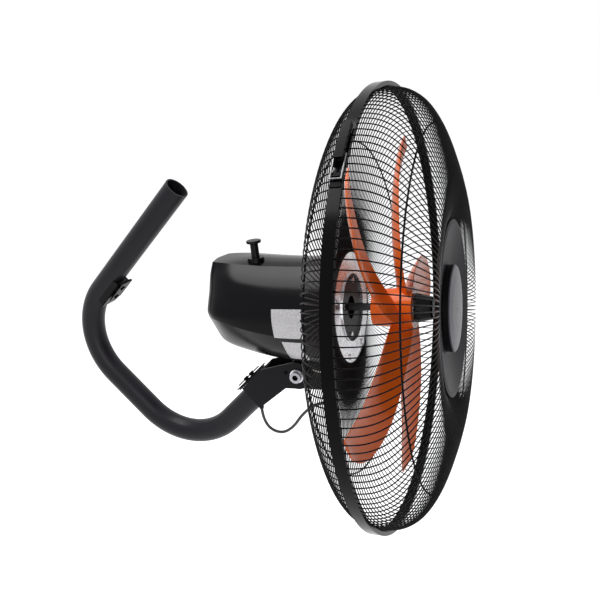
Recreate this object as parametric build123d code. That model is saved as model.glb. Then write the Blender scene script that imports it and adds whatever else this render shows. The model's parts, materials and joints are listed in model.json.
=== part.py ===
from build123d import *
import math
import os

# Wall mounted fan with an 18 inch impeller on a bent tube arm.
# Lengths are in mm. The fan axis is along Y with the front towards -Y, +Z is up, and the
# model is built about the centre of the guard's clamp band. It is written out with its
# origin at the centre of the arm's open end.

# ------------------------------------------------------------------ fits and clearances
RUN_FIT = 0.03          # radial play of a journal in its bush
PIN_FIT = 0.05          # radial play of a hinge pin
SLIP = 0.1              # play of a fastener in its hole, or of a plate beside another
LOOSE = 0.5             # play between pieces that never touch

# ------------------------------------------------------------------ arm
TUBE_R = 15.9           # 1 1/4 inch tube
TUBE_WALL = 2.0
ARM_SLOPE = 42.0        # both legs' slope to the fan axis, degrees
UPPER_LEG = 198.4       # straight length from the open end to the first bend
BASE_RUN = 73.5         # straight length between the two bends
LOWER_LEG = 84.0        # straight length from the second bend to the hidden end
BEND_R = 91.0
MOUTH_Y = 272.5         # open end, behind and above the clamp band's centre
MOUTH_Z = 156.9

# ------------------------------------------------------------------ tilt joint
PIVOT_Y = 132.8
PIVOT_Z = -86.8
BRACKET_T = 2.4         # plate thickness of the channel
BRACKET_LAP = 20.0      # length of tube that the channel holds
BRACKET_NOSE_R = 18.3   # rounded end about the tilt bolt
TILT_BOLT_R = 4.0
TILT_HEAD_R = 7.4
SOCKET_R = 3.6          # half the width over flats of the bolt's socket
SOCKET_DEPTH = 3.0
BARREL_R = 12.0
FRICTION_T = 1.5        # fibre washer each side of the neck
STOP_PIN_R = 2.5
STOP_PIN_REACH = 15.2   # from the tilt bolt's axis to the stop pin's
STOP_PIN_DIR = 164.3    # direction of the stop pin from the tilt bolt, from -Y towards +Z
STOP_LOBE_R = 17.0
TILT_RANGE = 20.0

# ------------------------------------------------------------------ neck and swivel
SWIVEL_Y = 94.0
SEAT_Z = -78.0          # top face of the neck
NECK_DEPTH = 28.0
SEAT_R = 24.0
POST_R = 6.0
POST_BORE = 3.0
THRUST_T = 3.0
FLANGE_T = 2.0
SWING_RANGE = 40.0
STUD_R = 3.0

# ------------------------------------------------------------------ motor
HOUSING_TOP = 65.5      # height of the housing's straight top line
HOUSING_WALL = 2.5
HOUSING_FRONT = 62.1
HOUSING_BACK = 232.0
HOUSING_ROUND = 12.0
COVER_T = 4.0
COVER_R = 68.9
COVER_DROP = 3.5        # the housing's mouth is centred this much below the fan axis
SHAFT_R = 4.0
TAIL_R = 2.5
STATOR_R = 44.0
STATOR_BORE = 27.0
STATOR_FRONT = 84.0
STATOR_LENGTH = 40.0
AIR_GAP = 0.4
SLOTS = 16
SHIELD_RIM = 3.5
SHIELD_T = 4.0
SHIELD_LIP = 4.0        # the shield's rim holds this much of the stator
COIL_REACH = 11.0       # end turns stand this far out of the core
BUSH_R = 8.0
BUSH_L = 11.0
BOLT_CIRCLE = 52.0
BOLT_R = 2.0

# ------------------------------------------------------------------ swing gearing
MODULE = 0.8
WORM_R = 4.0            # pitch radius
WHEEL_TEETH = 20
PINION_TEETH = 10
CRANK_TEETH = 50
TOOTH_SHARE = 0.39      # tooth thickness over the pitch, the rest is backlash
GEAR_Y = 170.4
CRANK_R = 12.0
LINK_Z = -52.5          # underside of the link
LINK_T = 3.0
CASE_WALL = 2.5

# ------------------------------------------------------------------ guards
BAND_R = 255.0
BAND_T = 1.2
BAND_HALF = 5.8
BAND_LIP = 0.9
RIM_DEPTH = 4.4
WIRES = 60              # the real grille has 170, which are too many for a working solid
WIRE_R = 1.05
PLATE_R = 66.6          # pressed plate at the middle of the rear guard
PLATE_HOLE = 41.0
PLATE_T = 1.2
DISH_R = 101.0          # dished plate at the middle of the front guard
BADGE_R = 50.0
FRONT_RING_R = 207.0
REAR_RING_R = 195.0
LATCH_A = -41.0         # place of the latch's hinge, from the top towards -X, degrees

# ------------------------------------------------------------------ impeller
BLADES = 5
TIP_GAP = 37.0          # blade tips to the outside of the band
TIP_R = BAND_R - TIP_GAP
HUB_FRONT_R = 24.6
HUB_BACK_R = 22.0
HUB_FRONT = -20.0
HUB_BACK = 28.0
BLADE_T = 2.6

# ------------------------------------------------------------------ knob
KNOB_R = 9.2
KNOB_TOP = 89.6
KNOB_STEM_R = 5.0
KNOB_TRAVEL = 8.0

# ------------------------------------------------------------------ motor lead
LEAD_R = 2.0

os.makedirs("parts", exist_ok=True)
parts = {}


# ------------------------------------------------------------------ helpers
def spun(points, turn=360.0):
    """Solid of revolution about the fan axis, from (radius, y) points."""
    return revolve(make_face(Polyline(*points, close=True)), Axis.Y, turn)


def ring(y0, y1, r_out, r_in=0.0):
    return spun([(r_in, y0), (r_out, y0), (r_out, y1), (r_in, y1)])


def sector(y0, y1, r_in, r_out, start, stop):
    """Part of a ring between two angles, from the top towards +X."""
    return spun([(r_in, y0), (r_out, y0), (r_out, y1), (r_in, y1)], stop - start).rotate(Axis.Y, start - 90)


def upright(x, y, z0, z1, r_out, r_in=0.0):
    base = (Align.CENTER, Align.CENTER, Align.MIN)
    solid = Cylinder(r_out, z1 - z0, align=base)
    if r_in > 0:
        solid = solid - Cylinder(r_in, z1 - z0, align=base)
    return Pos(x, y, z0) * solid


def along_y(x, z, y0, y1, r_out, r_in=0.0):
    return upright(0, 0, y0, y1, r_out, r_in).rotate(Axis.X, -90).moved(Location((x, 0, z)))


def along_x(y, z, x0, x1, r_out, r_in=0.0):
    return upright(0, 0, x0, x1, r_out, r_in).rotate(Axis.Y, 90).moved(Location((0, y, z)))


def block(x0, x1, y0, y1, z0, z1):
    return Pos((x0 + x1) / 2, (y0 + y1) / 2, (z0 + z1) / 2) * Box(x1 - x0, y1 - y0, z1 - z0)


def slab(points, x0, x1):
    """Plate between two x values, with its outline given as (y, z) points."""
    face = make_face(Polyline(*[(x0, y, z) for y, z in points], close=True))
    return extrude(face, amount=x1 - x0, dir=(1, 0, 0))


def hexagon_x(y, z, x0, x1, r_in):
    face = Plane(origin=(x0, y, z), x_dir=(0, 1, 0), z_dir=(1, 0, 0)) * RegularPolygon(r_in, 6, major_radius=False)
    return extrude(face, amount=x1 - x0, dir=(1, 0, 0))


def hexagon_y(x, z, y0, y1, r_in):
    face = Plane(origin=(x, y0, z), x_dir=(1, 0, 0), z_dir=(0, 1, 0)) * RegularPolygon(r_in, 6, major_radius=False)
    return extrude(face, amount=y1 - y0, dir=(0, 1, 0))


def polar(radius, degrees):
    """(x, z) of a point round the fan axis, from the top towards +X."""
    a = math.radians(degrees)
    return radius * math.sin(a), radius * math.cos(a)


# ------------------------------------------------------------------ arm geometry
slope = math.radians(ARM_SLOPE)
INTO = (math.cos(slope), -math.sin(slope))      # (y, z) along the upper leg, away from the open end
DOWN = (-math.sin(slope), -math.cos(slope))     # along the base
BACK = (-math.cos(slope), math.sin(slope))      # along the lower leg, towards the neck


def step(point, direction, length):
    return point[0] + direction[0] * length, point[1] + direction[1] * length


mouth = (MOUTH_Y, MOUTH_Z)
corner_1 = step(mouth, INTO, UPPER_LEG + BEND_R)
corner_2 = step(corner_1, DOWN, 2 * BEND_R + BASE_RUN)
lower_start = step(corner_2, BACK, BEND_R)
lower_end = step(lower_start, BACK, LOWER_LEG)


def on_lower(run, off):
    """(y, z) beside the lower leg: run from its bend, off towards the upper leg."""
    y, z = step(lower_start, BACK, run)
    return y - DOWN[0] * off, z - DOWN[1] * off


def on_upper(run, off):
    y, z = step(mouth, INTO, run)
    return y + DOWN[0] * off, z + DOWN[1] * off


def arm_sweep(radius):
    """Round bar of a given radius along the whole arm."""
    path = FilletPolyline(*[(0, y, z) for y, z in (mouth, corner_1, corner_2, lower_end)], radius=BEND_R)
    return sweep(Plane(origin=path @ 0, x_dir=(1, 0, 0), z_dir=path % 0) * Circle(radius), path=path)


def across_leg(place, run, off_0, off_1, radius):
    """Round bar square to a leg, from one distance off its axis to another."""
    y0, z0 = place(run, off_0)
    y1, z1 = place(run, off_1)
    flat = Plane(origin=(0, y0, z0), x_dir=(1, 0, 0), z_dir=(0, y1 - y0, z1 - z0))
    return extrude(flat * Circle(radius), amount=off_1 - off_0)


# ------------------------------------------------------------------ pads on the arm
PAD_HALF = 13.0         # half width of the saddle
PAD_TOP = 18.4          # saddle's flat face, from the leg's axis
PAD_PLATE_T = 1.6
PAD_GAP = 1.2           # between the long plate and the short one
PAD_SCREW_R = 2.0
PAD_SEAT = 9.2          # saddle's edges, from the leg's axis
PAD_END = 8.0           # short plate's ends to its screws
WEB_FACE = TUBE_R + SLIP + BRACKET_T
WEB_PAD_T = 2.0         # flat pad on the bracket's web
PADS = [
    # leg, underside and top of the saddle from the leg's axis, start, length, shift and length of the short plate
    (on_upper, PAD_SEAT, PAD_TOP, 165.0, 43.0, -5.0, 34.0),
    (on_lower, WEB_FACE + SLIP, WEB_FACE + SLIP + WEB_PAD_T, 56.0, 38.0, 3.0, 28.0),
]


def pad_screw_runs(start, shift, short):
    first = start + max(shift, 0) + PAD_END
    return first, first + short - 2 * PAD_END


def make_pads():
    screws = []
    saddles = []
    plates = []
    caps = []
    clear_of_tube = arm_sweep(TUBE_R + SLIP / 2)
    for place, seat, top, start, length, shift, short in PADS:
        def strip(run_0, run_1, off_0, off_1, half):
            corners = [place(run_0, off_0), place(run_1, off_0), place(run_1, off_1), place(run_0, off_1)]
            return slab(corners, -half, half)

        plate_0 = top + SLIP / 2
        cap_0 = plate_0 + PAD_PLATE_T + PAD_GAP
        saddle = strip(start, start + length, seat, top, PAD_HALF) - clear_of_tube
        plate = strip(start - 1.5, start + length + 1.5, plate_0, plate_0 + PAD_PLATE_T, PAD_HALF + 2)
        cap = strip(start + shift, start + shift + short, cap_0, cap_0 + PAD_PLATE_T, PAD_HALF - 1)
        for run in pad_screw_runs(start, shift, short):
            hole = across_leg(place, run, TUBE_R - TUBE_WALL - 2, cap_0 + 8, PAD_SCREW_R + PIN_FIT)
            saddle -= hole
            plate -= hole
            cap -= hole
            screw = across_leg(place, run, TUBE_R - TUBE_WALL + 0.1, cap_0 + PAD_PLATE_T + 0.5, PAD_SCREW_R)
            screw += across_leg(place, run, cap_0 + PAD_PLATE_T, cap_0 + PAD_PLATE_T + 1.5, 3.6)
            screw += across_leg(place, run, plate_0 + PAD_PLATE_T, cap_0, 3.2)
            screws.append(screw)
        saddles.append(saddle)
        plates.append(plate)
        caps.append(cap)
    parts["pad_saddles"] = Compound(children=saddles)
    parts["pad_plates"] = Compound(children=plates)
    parts["pad_caps"] = Compound(children=caps)
    parts["pad_screws"] = Compound(children=screws)


# ------------------------------------------------------------------ arm tube
GROMMET_RUN = 53.5
GROMMET_R = 3.4


def grommet_spot():
    return on_lower(GROMMET_RUN, -TUBE_R)


def make_arm():
    tube = arm_sweep(TUBE_R) - arm_sweep(TUBE_R - TUBE_WALL)
    y, z = grommet_spot()
    tube -= upright(0, y, z - 5, z + 6, GROMMET_R)
    for place, seat, top, start, length, shift, short in PADS:
        for run in pad_screw_runs(start, shift, short):
            tube -= across_leg(place, run, 5, TUBE_R + 2, PAD_SCREW_R)
    parts["arm_tube"] = tube


# ------------------------------------------------------------------ channel bracket and tilt bolt
channel_in = TUBE_R + SLIP
channel_out = channel_in + BRACKET_T


def around_pivot(radius, degrees):
    """(y, z) round the tilt bolt, from the front towards +Z."""
    a = math.radians(degrees)
    return PIVOT_Y - radius * math.cos(a), PIVOT_Z + radius * math.sin(a)


def make_bracket():
    lap_start = LOWER_LEG - BRACKET_LAP
    heel_top = on_lower(lap_start, TUBE_R + SLIP + BRACKET_T)
    shoulder = on_lower(lap_start + 43, TUBE_R + SLIP + BRACKET_T)
    heel_low = on_lower(lap_start - 2, -TUBE_R - 0.5)
    knee = on_lower(lap_start + 50, -20.7)
    nose_top = around_pivot(BRACKET_NOSE_R, 108)
    nose_low = around_pivot(BRACKET_NOSE_R, -103)
    outline = [heel_top, shoulder, nose_top, nose_low, knee, heel_low]
    plates = []
    for side in (-1, 1):
        x0 = channel_in if side > 0 else -channel_out
        cheek = slab(outline, x0, x0 + BRACKET_T) + along_x(PIVOT_Y, PIVOT_Z, x0, x0 + BRACKET_T, BRACKET_NOSE_R)
        plates.append(cheek)
    web = slab([on_lower(lap_start, TUBE_R + SLIP), on_lower(lap_start + 43, TUBE_R + SLIP),
                shoulder, heel_top], -channel_out, channel_out)
    bracket = plates[0] + web + plates[1]
    bracket -= along_x(PIVOT_Y, PIVOT_Z, -30, 30, TILT_BOLT_R + SLIP)
    stop_y, stop_z = around_pivot(STOP_PIN_REACH, STOP_PIN_DIR)
    bracket -= along_x(stop_y, stop_z, -30, 30, STOP_PIN_R)
    place, seat, top, start, length, shift, short = PADS[1]
    for run in pad_screw_runs(start, shift, short):
        bracket -= across_leg(place, run, TUBE_R, WEB_FACE + 1, PAD_SCREW_R + PIN_FIT)
    parts["tilt_bracket"] = bracket
    parts["tilt_stop_pin"] = along_x(stop_y, stop_z, -channel_out - 0.6, channel_out + 0.6, STOP_PIN_R)

    washer_t = 1.4
    head_0 = channel_out + washer_t
    shank_end = head_0 + 9
    bolt = along_x(PIVOT_Y, PIVOT_Z, -head_0 - 1, shank_end, TILT_BOLT_R)
    head_end = -head_0 - 5.3
    head = along_x(PIVOT_Y, PIVOT_Z, head_end, -head_0, TILT_HEAD_R)
    head -= hexagon_x(PIVOT_Y, PIVOT_Z, head_end - 1, head_end + SOCKET_DEPTH, SOCKET_R)
    parts["tilt_bolt"] = bolt + head
    nut = hexagon_x(PIVOT_Y, PIVOT_Z, head_0, head_0 + 6.5, TILT_HEAD_R * math.cos(math.pi / 6))
    parts["tilt_nut"] = nut - along_x(PIVOT_Y, PIVOT_Z, head_0 - 1, head_0 + 8, TILT_BOLT_R)
    outer = [along_x(PIVOT_Y, PIVOT_Z, -head_0, -channel_out, 9.0, TILT_BOLT_R + SLIP),
             along_x(PIVOT_Y, PIVOT_Z, channel_out, head_0, 9.0, TILT_BOLT_R + SLIP)]
    inner = [along_x(PIVOT_Y, PIVOT_Z, -channel_in, -channel_in + FRICTION_T, 11.5, TILT_BOLT_R + SLIP),
             along_x(PIVOT_Y, PIVOT_Z, channel_in - FRICTION_T, channel_in, 11.5, TILT_BOLT_R + SLIP)]
    parts["tilt_washers"] = Compound(children=outer + inner)


# ------------------------------------------------------------------ motor lead
LEAD_MOUTH_Z = -147.0
NECK_GROMMET_DROP = 2.0


def make_lead():
    y, z = grommet_spot()
    body = upright(0, y, LEAD_MOUTH_Z + 3, z + 4, GROMMET_R)
    nose = Pos(0, y, LEAD_MOUTH_Z + 1.5) * Cone(LEAD_R + 0.5, GROMMET_R, 3)
    grommet = body + nose
    parts["lead_grommet"] = grommet

    neck_low = SEAT_Z - NECK_DEPTH
    lead_top = neck_low - NECK_GROMMET_DROP
    route = [(y, LEAD_MOUTH_Z), (y, LEAD_MOUTH_Z - 14), (190, -177.5), (172, -182), (155, -171),
             (140, -151), (122, -136), (104.5, -131), (SWIVEL_Y, lead_top - 13), (SWIVEL_Y, lead_top)]
    radii = []
    for a, b, c in zip(route, route[1:], route[2:]):
        into = Vector(b[0] - a[0], b[1] - a[1])
        out = Vector(c[0] - b[0], c[1] - b[1])
        half_turn = math.radians(into.get_angle(out)) / 2
        radii.append(0.45 * min(into.length, out.length) / math.tan(half_turn))
    print("lead radii", [round(r, 1) for r in radii])
    path = FilletPolyline(*[(0, p, q) for p, q in route], radius=radii)
    lead = sweep(Plane(origin=path @ 0, z_dir=path % 0) * Circle(LEAD_R), path=path)
    print("lead volume over section times length",
          round(lead.volume / (math.pi * LEAD_R ** 2 * path.length), 4), "length", round(path.length, 1))
    parts["motor_lead"] = lead
    parts["neck_grommet"] = upright(0, SWIVEL_Y, lead_top, neck_low + 3, GROMMET_R + 0.6)


# ------------------------------------------------------------------ neck
neck_half = channel_in - FRICTION_T - SLIP
stud_reach = CRANK_R / math.sin(math.radians(SWING_RANGE))
thrust_top = SEAT_Z + THRUST_T
flange_low = thrust_top + PIN_FIT
frame_top = LINK_Z - 3.0
clip_t = 1.0


def make_neck():
    low = SEAT_Z - NECK_DEPTH
    front = SWIVEL_Y - 28
    bar = slab([(PIVOT_Y + 5, SEAT_Z), (front, SEAT_Z), (front + 11, low), (PIVOT_Y - 8, low),
                (PIVOT_Y + 4, PIVOT_Z - BARREL_R + 1)], -neck_half, neck_half)
    bar = fillet(bar.edges().filter_by(Axis.X).sort_by(Axis.Y)[:2], 4)
    barrel = along_x(PIVOT_Y, PIVOT_Z, -neck_half, neck_half, BARREL_R)
    seat = upright(0, SWIVEL_Y, SEAT_Z - 6, SEAT_Z, SEAT_R)
    lobe = along_x(PIVOT_Y, PIVOT_Z, -6, 6, STOP_LOBE_R)
    pin_half = math.degrees(math.asin(STOP_PIN_R / STOP_PIN_REACH))
    free = TILT_RANGE + pin_half + 2
    reach = STOP_LOBE_R * 2
    notch = slab([(PIVOT_Y, PIVOT_Z), around_pivot(reach, STOP_PIN_DIR - free),
                  around_pivot(reach, STOP_PIN_DIR), around_pivot(reach, STOP_PIN_DIR + free)], -7, 7)
    lobe = lobe - notch
    neck = bar + seat + lobe + barrel
    neck -= along_x(PIVOT_Y, PIVOT_Z, -20, 20, TILT_BOLT_R + PIN_FIT)
    neck -= upright(0, SWIVEL_Y, SEAT_Z - 20, SEAT_Z + 1, POST_R)
    neck -= upright(0, SWIVEL_Y, low - 1, SEAT_Z, POST_BORE)
    neck -= upright(0, SWIVEL_Y, low - 1, low + 3, GROMMET_R + 0.6)
    neck -= upright(stud_reach, SWIVEL_Y, SEAT_Z - 5, SEAT_Z + 1, STUD_R)
    parts["neck_casting"] = neck
    post_top = frame_top + clip_t + 1.0
    parts["swivel_post"] = upright(0, SWIVEL_Y, SEAT_Z - 20, post_top, POST_R, POST_BORE)
    washer = upright(0, SWIVEL_Y, SEAT_Z, thrust_top, SEAT_R, POST_R + SLIP)
    parts["thrust_washer"] = washer - upright(stud_reach, SWIVEL_Y, SEAT_Z - 1, thrust_top + 1, STUD_R + SLIP)
    parts["swivel_clip"] = upright(0, SWIVEL_Y, frame_top + SLIP, frame_top + SLIP + clip_t, POST_R + 3.5, POST_R)
    parts["link_stud"] = upright(stud_reach, SWIVEL_Y, SEAT_Z - 5, LINK_Z - 0.4, STUD_R)


# ------------------------------------------------------------------ swivel frame
boss_r = POST_R + 6


def swing_slot(z0, z1):
    """Arc-shaped way for the stud, as far as the head swings."""
    half = SWING_RANGE + math.degrees(math.asin((STUD_R + LOOSE) / stud_reach))
    inner = stud_reach - STUD_R - LOOSE
    outer = stud_reach + STUD_R + LOOSE
    face = make_face(Polyline((inner, z0, 0), (outer, z0, 0), (outer, z1, 0), (inner, z1, 0), close=True))
    arc = revolve(face, Axis.Y, 2 * half).rotate(Axis.X, 90).rotate(Axis.Z, -half)
    return arc.moved(Location((0, SWIVEL_Y, 0)))


def bolt_spots():
    return [polar(BOLT_CIRCLE, a) for a in (45, 135, 225, 315)]


def make_swivel_frame():
    plate_z = frame_top - 4
    flange = upright(0, SWIVEL_Y, flange_low, flange_low + FLANGE_T, SEAT_R + 2)
    boss = upright(0, SWIVEL_Y, flange_low, frame_top, boss_r)
    table = upright(0, SWIVEL_Y, plate_z, frame_top, 29)
    frame = flange + boss + table
    ear = polar(BOLT_CIRCLE, 135)[0]
    ear_in = ear - 5
    half_depth = 5.5
    saddle = [(0, plate_z), (31, plate_z), (36.5, plate_z + 5.5), (ear + 5, -ear - 5), (ear + 5, -ear_in),
              (ear_in, -ear_in), (ear_in, frame_top), (0, frame_top)]
    for side in (-1, 1):
        outline = [(side * x, SWIVEL_Y - half_depth, z) for x, z in saddle]
        frame += extrude(make_face(Polyline(*outline, close=True)), amount=2 * half_depth, dir=(0, 1, 0))
    frame -= upright(0, SWIVEL_Y, flange_low - 1, frame_top + 1, POST_R + RUN_FIT)
    frame -= swing_slot(flange_low - 1, frame_top + 1)
    for x, z in bolt_spots()[1:3]:
        frame -= along_y(x, z, SWIVEL_Y - 20, SWIVEL_Y + 20, BOLT_R + SLIP)
    parts["swivel_frame"] = frame


# ------------------------------------------------------------------ motor housing
STATIONS = [
    # y, bottom, width, corner radius
    (HOUSING_FRONT, -72.5, 138.0, 68.9),
    (120.0, -69.0, 134.5, 64.0),
    (176.0, -61.5, 130.0, 52.0),
    (217.0, -52.8, 127.0, 40.0),
    (HOUSING_BACK, -49.0, 126.0, 36.0),
]


def housing_form(grow, back):
    """Solid bounded by the housing's outer skin moved out by grow."""
    sections = []
    for y, bottom, width, corner in STATIONS:
        height = HOUSING_TOP - bottom
        flat = Plane(origin=(0, min(y, back), (HOUSING_TOP + bottom) / 2), x_dir=(1, 0, 0), z_dir=(0, 1, 0))
        radius = min(corner, height / 2 - 0.05, width / 2 - 0.05) + grow
        sections.append(flat * RectangleRounded(width + 2 * grow, height + 2 * grow, radius))
    return loft(sections)


def make_housing():
    outer = housing_form(0, HOUSING_BACK)
    outer = fillet(outer.faces().sort_by(Axis.Y)[-1].edges(), HOUSING_ROUND)
    inner = housing_form(-HOUSING_WALL, HOUSING_BACK - HOUSING_WALL)
    inner = fillet(inner.faces().sort_by(Axis.Y)[-1].edges(), HOUSING_ROUND - HOUSING_WALL)
    shell = outer - inner
    boss_r_out = 10.5
    boss = upright(KNOB_X, GEAR_Y, HOUSING_TOP - 9, BOSS_TOP, boss_r_out)
    shell += boss
    shell -= upright(KNOB_X, GEAR_Y, HOUSING_TOP - 20, BOSS_TOP + 1, COLLAR_NECK_R)
    shell -= upright(0, SWIVEL_Y, -90, -50, SEAT_R + 0.5)
    shell -= block(-boss_r - 1, boss_r + 1, 40, SWIVEL_Y, -90, -50)
    x, z = HOUSING_SCREW
    shell -= along_y(x, z, HOUSING_BACK - 20, HOUSING_BACK + 5, BOLT_R + SLIP)
    parts["motor_housing"] = shell

    screw = along_y(x, z, CASE_BACK + 2, HOUSING_BACK + 1, BOLT_R)
    screw += along_y(x, z, HOUSING_BACK, HOUSING_BACK + 2.6, 4.0)
    screw -= block(x - 0.5, x + 0.5, HOUSING_BACK + 1.4, HOUSING_BACK + 4, z - 5, z + 5)
    return screw


# ------------------------------------------------------------------ rating labels
LABEL_T = 0.35
LABELS = [(97.0, 134.0, -16.0, 19.0), (100.0, 127.0, -52.0, -22.0)]


def make_labels():
    band = housing_form(SLIP / 2 + LABEL_T, HOUSING_BACK) - housing_form(SLIP / 2, HOUSING_BACK)
    plates = [band & block(-90, -20, y0, y1, z0, z1) for y0, y1, z0, z1 in LABELS]
    parts["rating_labels"] = Compound(children=[p.solids()[0] for p in plates])


# ------------------------------------------------------------------ motor
stator_back = STATOR_FRONT + STATOR_LENGTH
cover_back = HOUSING_FRONT - SLIP
cover_front = cover_back - COVER_T
shield_front = STATOR_FRONT - COIL_REACH - 3 - SHIELD_T
shield_back = stator_back + COIL_REACH + 3 + SHIELD_T
COVER_SCREW_CIRCLE = 33.0
COVER_SCREWS = (20, 110, 200, 290)


def make_stator():
    core = ring(STATOR_FRONT, stator_back, STATOR_R, STATOR_BORE)
    slot_in, slot_out, slot_w = STATOR_BORE + 2.5, STATOR_R - 5, 5.0
    one_slot = block(-slot_w / 2, slot_w / 2, STATOR_FRONT - 1, stator_back + 1, slot_in, slot_out)
    one_mouth = block(-1, 1, STATOR_FRONT - 1, stator_back + 1, STATOR_BORE - 1, slot_in + 1)
    slots = [(one_slot + one_mouth).rotate(Axis.Y, 360 * k / SLOTS) for k in range(SLOTS)]
    parts["stator_core"] = core - slots
    coil_in, coil_out = slot_in + SLIP, slot_out - SLIP
    bar = block(-slot_w / 2 + SLIP, slot_w / 2 - SLIP, STATOR_FRONT - 2, stator_back + 2, coil_in, coil_out)
    bars = [bar.rotate(Axis.Y, 360 * k / SLOTS) for k in range(SLOTS)]
    turns = []
    for y0, y1 in ((STATOR_FRONT - COIL_REACH, STATOR_FRONT - 1), (stator_back + 1, stator_back + COIL_REACH)):
        turn = ring(y0, y1, coil_out + 2, coil_in - 1)
        turns.append(fillet(turn.edges().filter_by(GeomType.CIRCLE), 2))
    parts["stator_windings"] = turns[0].fuse(turns[1], *bars)


def make_shields():
    rim_out = STATOR_R + SHIELD_RIM
    front = ring(shield_front, shield_front + SHIELD_T, rim_out, BUSH_R)
    front += ring(shield_front, STATOR_FRONT + SHIELD_LIP, rim_out, STATOR_R)
    front += ring(shield_front, shield_front + BUSH_L, BUSH_R + 4, BUSH_R)
    back = ring(shield_back - SHIELD_T, shield_back, rim_out, BUSH_R)
    back += ring(stator_back - SHIELD_LIP, shield_back, rim_out, STATOR_R)
    back += ring(shield_back - BUSH_L + 4, shield_back + 4, BUSH_R + 4, BUSH_R)
    for x, z in bolt_spots():
        for number, (y0, y1) in enumerate(((shield_front, shield_front + 5), (shield_back - 5, shield_back))):
            lug = along_y(x, z, y0, y1, 5)
            arm = block(-5, 5, y0, y1, rim_out - 2, BOLT_CIRCLE).rotate(Axis.Y, math.degrees(math.atan2(x, z)))
            if number == 0:
                front += lug + arm
            else:
                back += lug + arm
        hole = along_y(x, z, shield_front - 5, shield_back + 5, BOLT_R + SLIP)
        front -= hole
        back -= hole
    for angle in COVER_SCREWS:
        x, z = polar(COVER_SCREW_CIRCLE, angle)
        front += along_y(x, z, cover_back, shield_front + 1, 4)
        front -= along_y(x, z, cover_back - 1, shield_front + SHIELD_T + 1, 1.5)
    for x, z in CASE_EARS:
        back += along_y(x, z, shield_back - 1, CASE_FRONT, 3.6)
        back -= along_y(x, z, shield_back - SHIELD_T - 1, CASE_FRONT + 1, 1.5)
    parts["front_shield"] = front
    parts["rear_shield"] = back
    bushes = [ring(y0, y0 + BUSH_L, BUSH_R, SHAFT_R + RUN_FIT) for y0 in (shield_front, shield_back - BUSH_L + 4)]
    parts["shaft_bushes"] = Compound(children=bushes)
    bolts = []
    nuts = []
    for x, z in bolt_spots():
        bolt = along_y(x, z, shield_front - 2.4, shield_back + 5, BOLT_R)
        bolts.append(bolt + along_y(x, z, shield_front - 2.8, shield_front, 3.6))
        nut = hexagon_y(x, z, shield_back, shield_back + 3.2, 3.5)
        nuts.append(nut - along_y(x, z, shield_back - 1, shield_back + 4, BOLT_R))
    parts["shield_bolts"] = Compound(children=bolts)
    parts["shield_nuts"] = Compound(children=nuts)


HANGER_HALF = 10.0
HANGER_TOP = 82.0


def make_cover():
    cover = along_y(0, -COVER_DROP, cover_front, cover_back, COVER_R, 0)
    hanger = block(-HANGER_HALF, HANGER_HALF, cover_front, cover_back, 50, HANGER_TOP)
    cover += fillet(hanger.edges().filter_by(Axis.Y).group_by(Axis.Z)[-1], 5)
    cover -= ring(cover_front - 1, cover_back + 1, BUSH_R + 6)
    screws = []
    for angle in COVER_SCREWS:
        x, z = polar(COVER_SCREW_CIRCLE, angle)
        cover -= along_y(x, z, cover_front - 1, cover_back + 1, 1.5 + SLIP)
        screw = along_y(x, z, cover_front - 1, shield_front + SHIELD_T, 1.5)
        screw += along_y(x, z, cover_front - 2, cover_front, 3.4)
        screws.append(screw - block(x - 0.4, x + 0.4, cover_front - 3, cover_front - 1.1, z - 4, z + 4))
    for angle in GUARD_SCREWS:
        x, z = polar(GUARD_SCREW_CIRCLE, angle)
        cover -= along_y(x, z, cover_front - 1, cover_back + 1, BOLT_R)
    parts["front_cover"] = cover
    return screws


GUARD_SCREW_CIRCLE = 60.0
GUARD_SCREWS = (65, 155, 205, 295)


plate_back = cover_front
plate_front = plate_back - PLATE_T


def make_rear_plate():
    plate = ring(plate_front, plate_back, PLATE_R, PLATE_HOLE)
    lip = ring(plate_front - 1.5, plate_back, PLATE_HOLE + PLATE_T, PLATE_HOLE)
    plate += lip
    screws = []
    for angle in GUARD_SCREWS:
        x, z = polar(GUARD_SCREW_CIRCLE, angle)
        plate -= along_y(x, z, plate_front - 1, plate_back + 1, BOLT_R + SLIP)
        screw = along_y(x, z, plate_front - 0.5, cover_back, BOLT_R)
        screws.append(screw + along_y(x, z, plate_front - 1.8, plate_front, 3.6))
    parts["rear_guard_plate"] = plate
    return screws


# ------------------------------------------------------------------ rotor
THREAD_END = -38.0
PIN_Y = HUB_BACK - 4.0
WASHER_T = 1.2


def make_rotor():
    tail_start = shield_back + 8
    shaft = ring(THREAD_END, tail_start, SHAFT_R) + ring(tail_start, WORM_END, TAIL_R)
    shaft -= along_x(PIN_Y, 0, -10, 10, 1.5)
    parts["rotor_shaft"] = shaft
    rotor_r = STATOR_BORE - AIR_GAP
    parts["rotor_core"] = ring(STATOR_FRONT, stator_back, rotor_r, SHAFT_R)
    ends = [ring(STATOR_FRONT - 4, STATOR_FRONT, rotor_r - 1, rotor_r - 13),
            ring(stator_back, stator_back + 4, rotor_r - 1, rotor_r - 13)]
    parts["rotor_end_rings"] = Compound(children=ends)
    parts["drive_pin"] = along_x(PIN_Y, 0, -13, 13, 1.5)


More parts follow.
